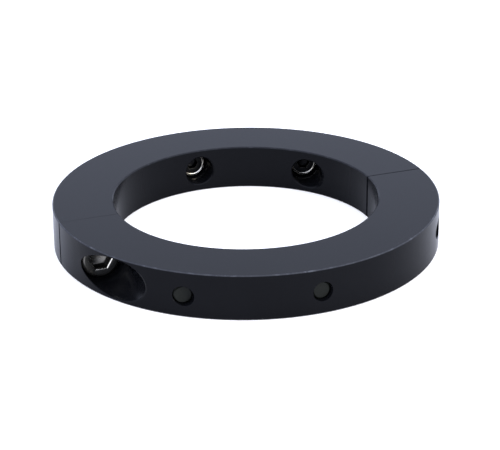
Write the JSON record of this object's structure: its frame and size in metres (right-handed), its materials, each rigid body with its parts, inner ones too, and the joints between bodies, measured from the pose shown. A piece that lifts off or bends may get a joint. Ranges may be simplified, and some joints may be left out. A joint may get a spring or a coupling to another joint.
{
  "type": "two-piece shaft collar",
  "caption": "Two-piece clamping shaft collar: a thin split ring drawn together by two tangential cap screws, with counterbored cap screws set in its wall from the bore side.",
  "frame": {"origin": "centre of the bore at mid-width", "axes": "+Z along the bore; the halves meet on the XZ plane and the clamp screws run along Y; the front half lies at -Y"},
  "size_m": [0.102, 0.102, 0.012],
  "materials": {
    "anodised_ring": "satin black anodised",
    "black_oxide_screw": "black oxide, oiled"
  },
  "bodies": {
    "front_half": {"front_half": "anodised_ring"},
    "back_half": {"back_half": "anodised_ring"},
    "left_clamp_screw": {"left_clamp_screw": "black_oxide_screw"},
    "right_clamp_screw": {"right_clamp_screw": "black_oxide_screw"},
    "front_radial_screw": {"front_radial_screw": "black_oxide_screw"},
    "front_oblique_screw": {"front_oblique_screw": "black_oxide_screw"},
    "back_radial_screw": {"back_radial_screw": "black_oxide_screw"},
    "back_oblique_screw": {"back_oblique_screw": "black_oxide_screw"}
  },
  "joints": [
    {"name": "halves_part", "type": "slide", "parent": "front_half", "child": "back_half", "axis": [0, 1, 0], "range_m": [0, 0.012]},
    {"name": "left_clamp_screw_turn", "type": "hinge", "parent": "front_half", "child": "left_clamp_screw", "pos_m": [-0.0438, -0.007, 0], "axis": [0, -1, 0], "range_deg": [0, 4320.1]},
    {"name": "right_clamp_screw_turn", "type": "hinge", "parent": "back_half", "child": "right_clamp_screw", "pos_m": [0.04378, 0.00712, 0], "axis": [-0.0028, 1, 0], "range_deg": [0, 4320.1]},
    {"name": "front_radial_screw_travel", "type": "slide", "parent": "front_half", "child": "front_radial_screw", "axis": [-0.0244, 0.9997, 0], "range_m": [0, 0.005]},
    {"name": "front_oblique_screw_travel", "type": "slide", "parent": "front_half", "child": "front_oblique_screw", "axis": [0.2385, 0.9711, 0], "range_m": [0, 0.005]},
    {"name": "back_radial_screw_travel", "type": "slide", "parent": "back_half", "child": "back_radial_screw", "axis": [0.0272, -0.9996, 0], "range_m": [0, 0.005]},
    {"name": "back_oblique_screw_travel", "type": "slide", "parent": "back_half", "child": "back_oblique_screw", "axis": [-0.2358, -0.9718, 0], "range_m": [0, 0.005]}
  ],
  "couplings": [
    {"joint": "left_clamp_screw_turn", "follows": "halves_part", "rad_per_m": 6283.2},
    {"joint": "right_clamp_screw_turn", "follows": "halves_part", "rad_per_m": 6283.2}
  ]
}
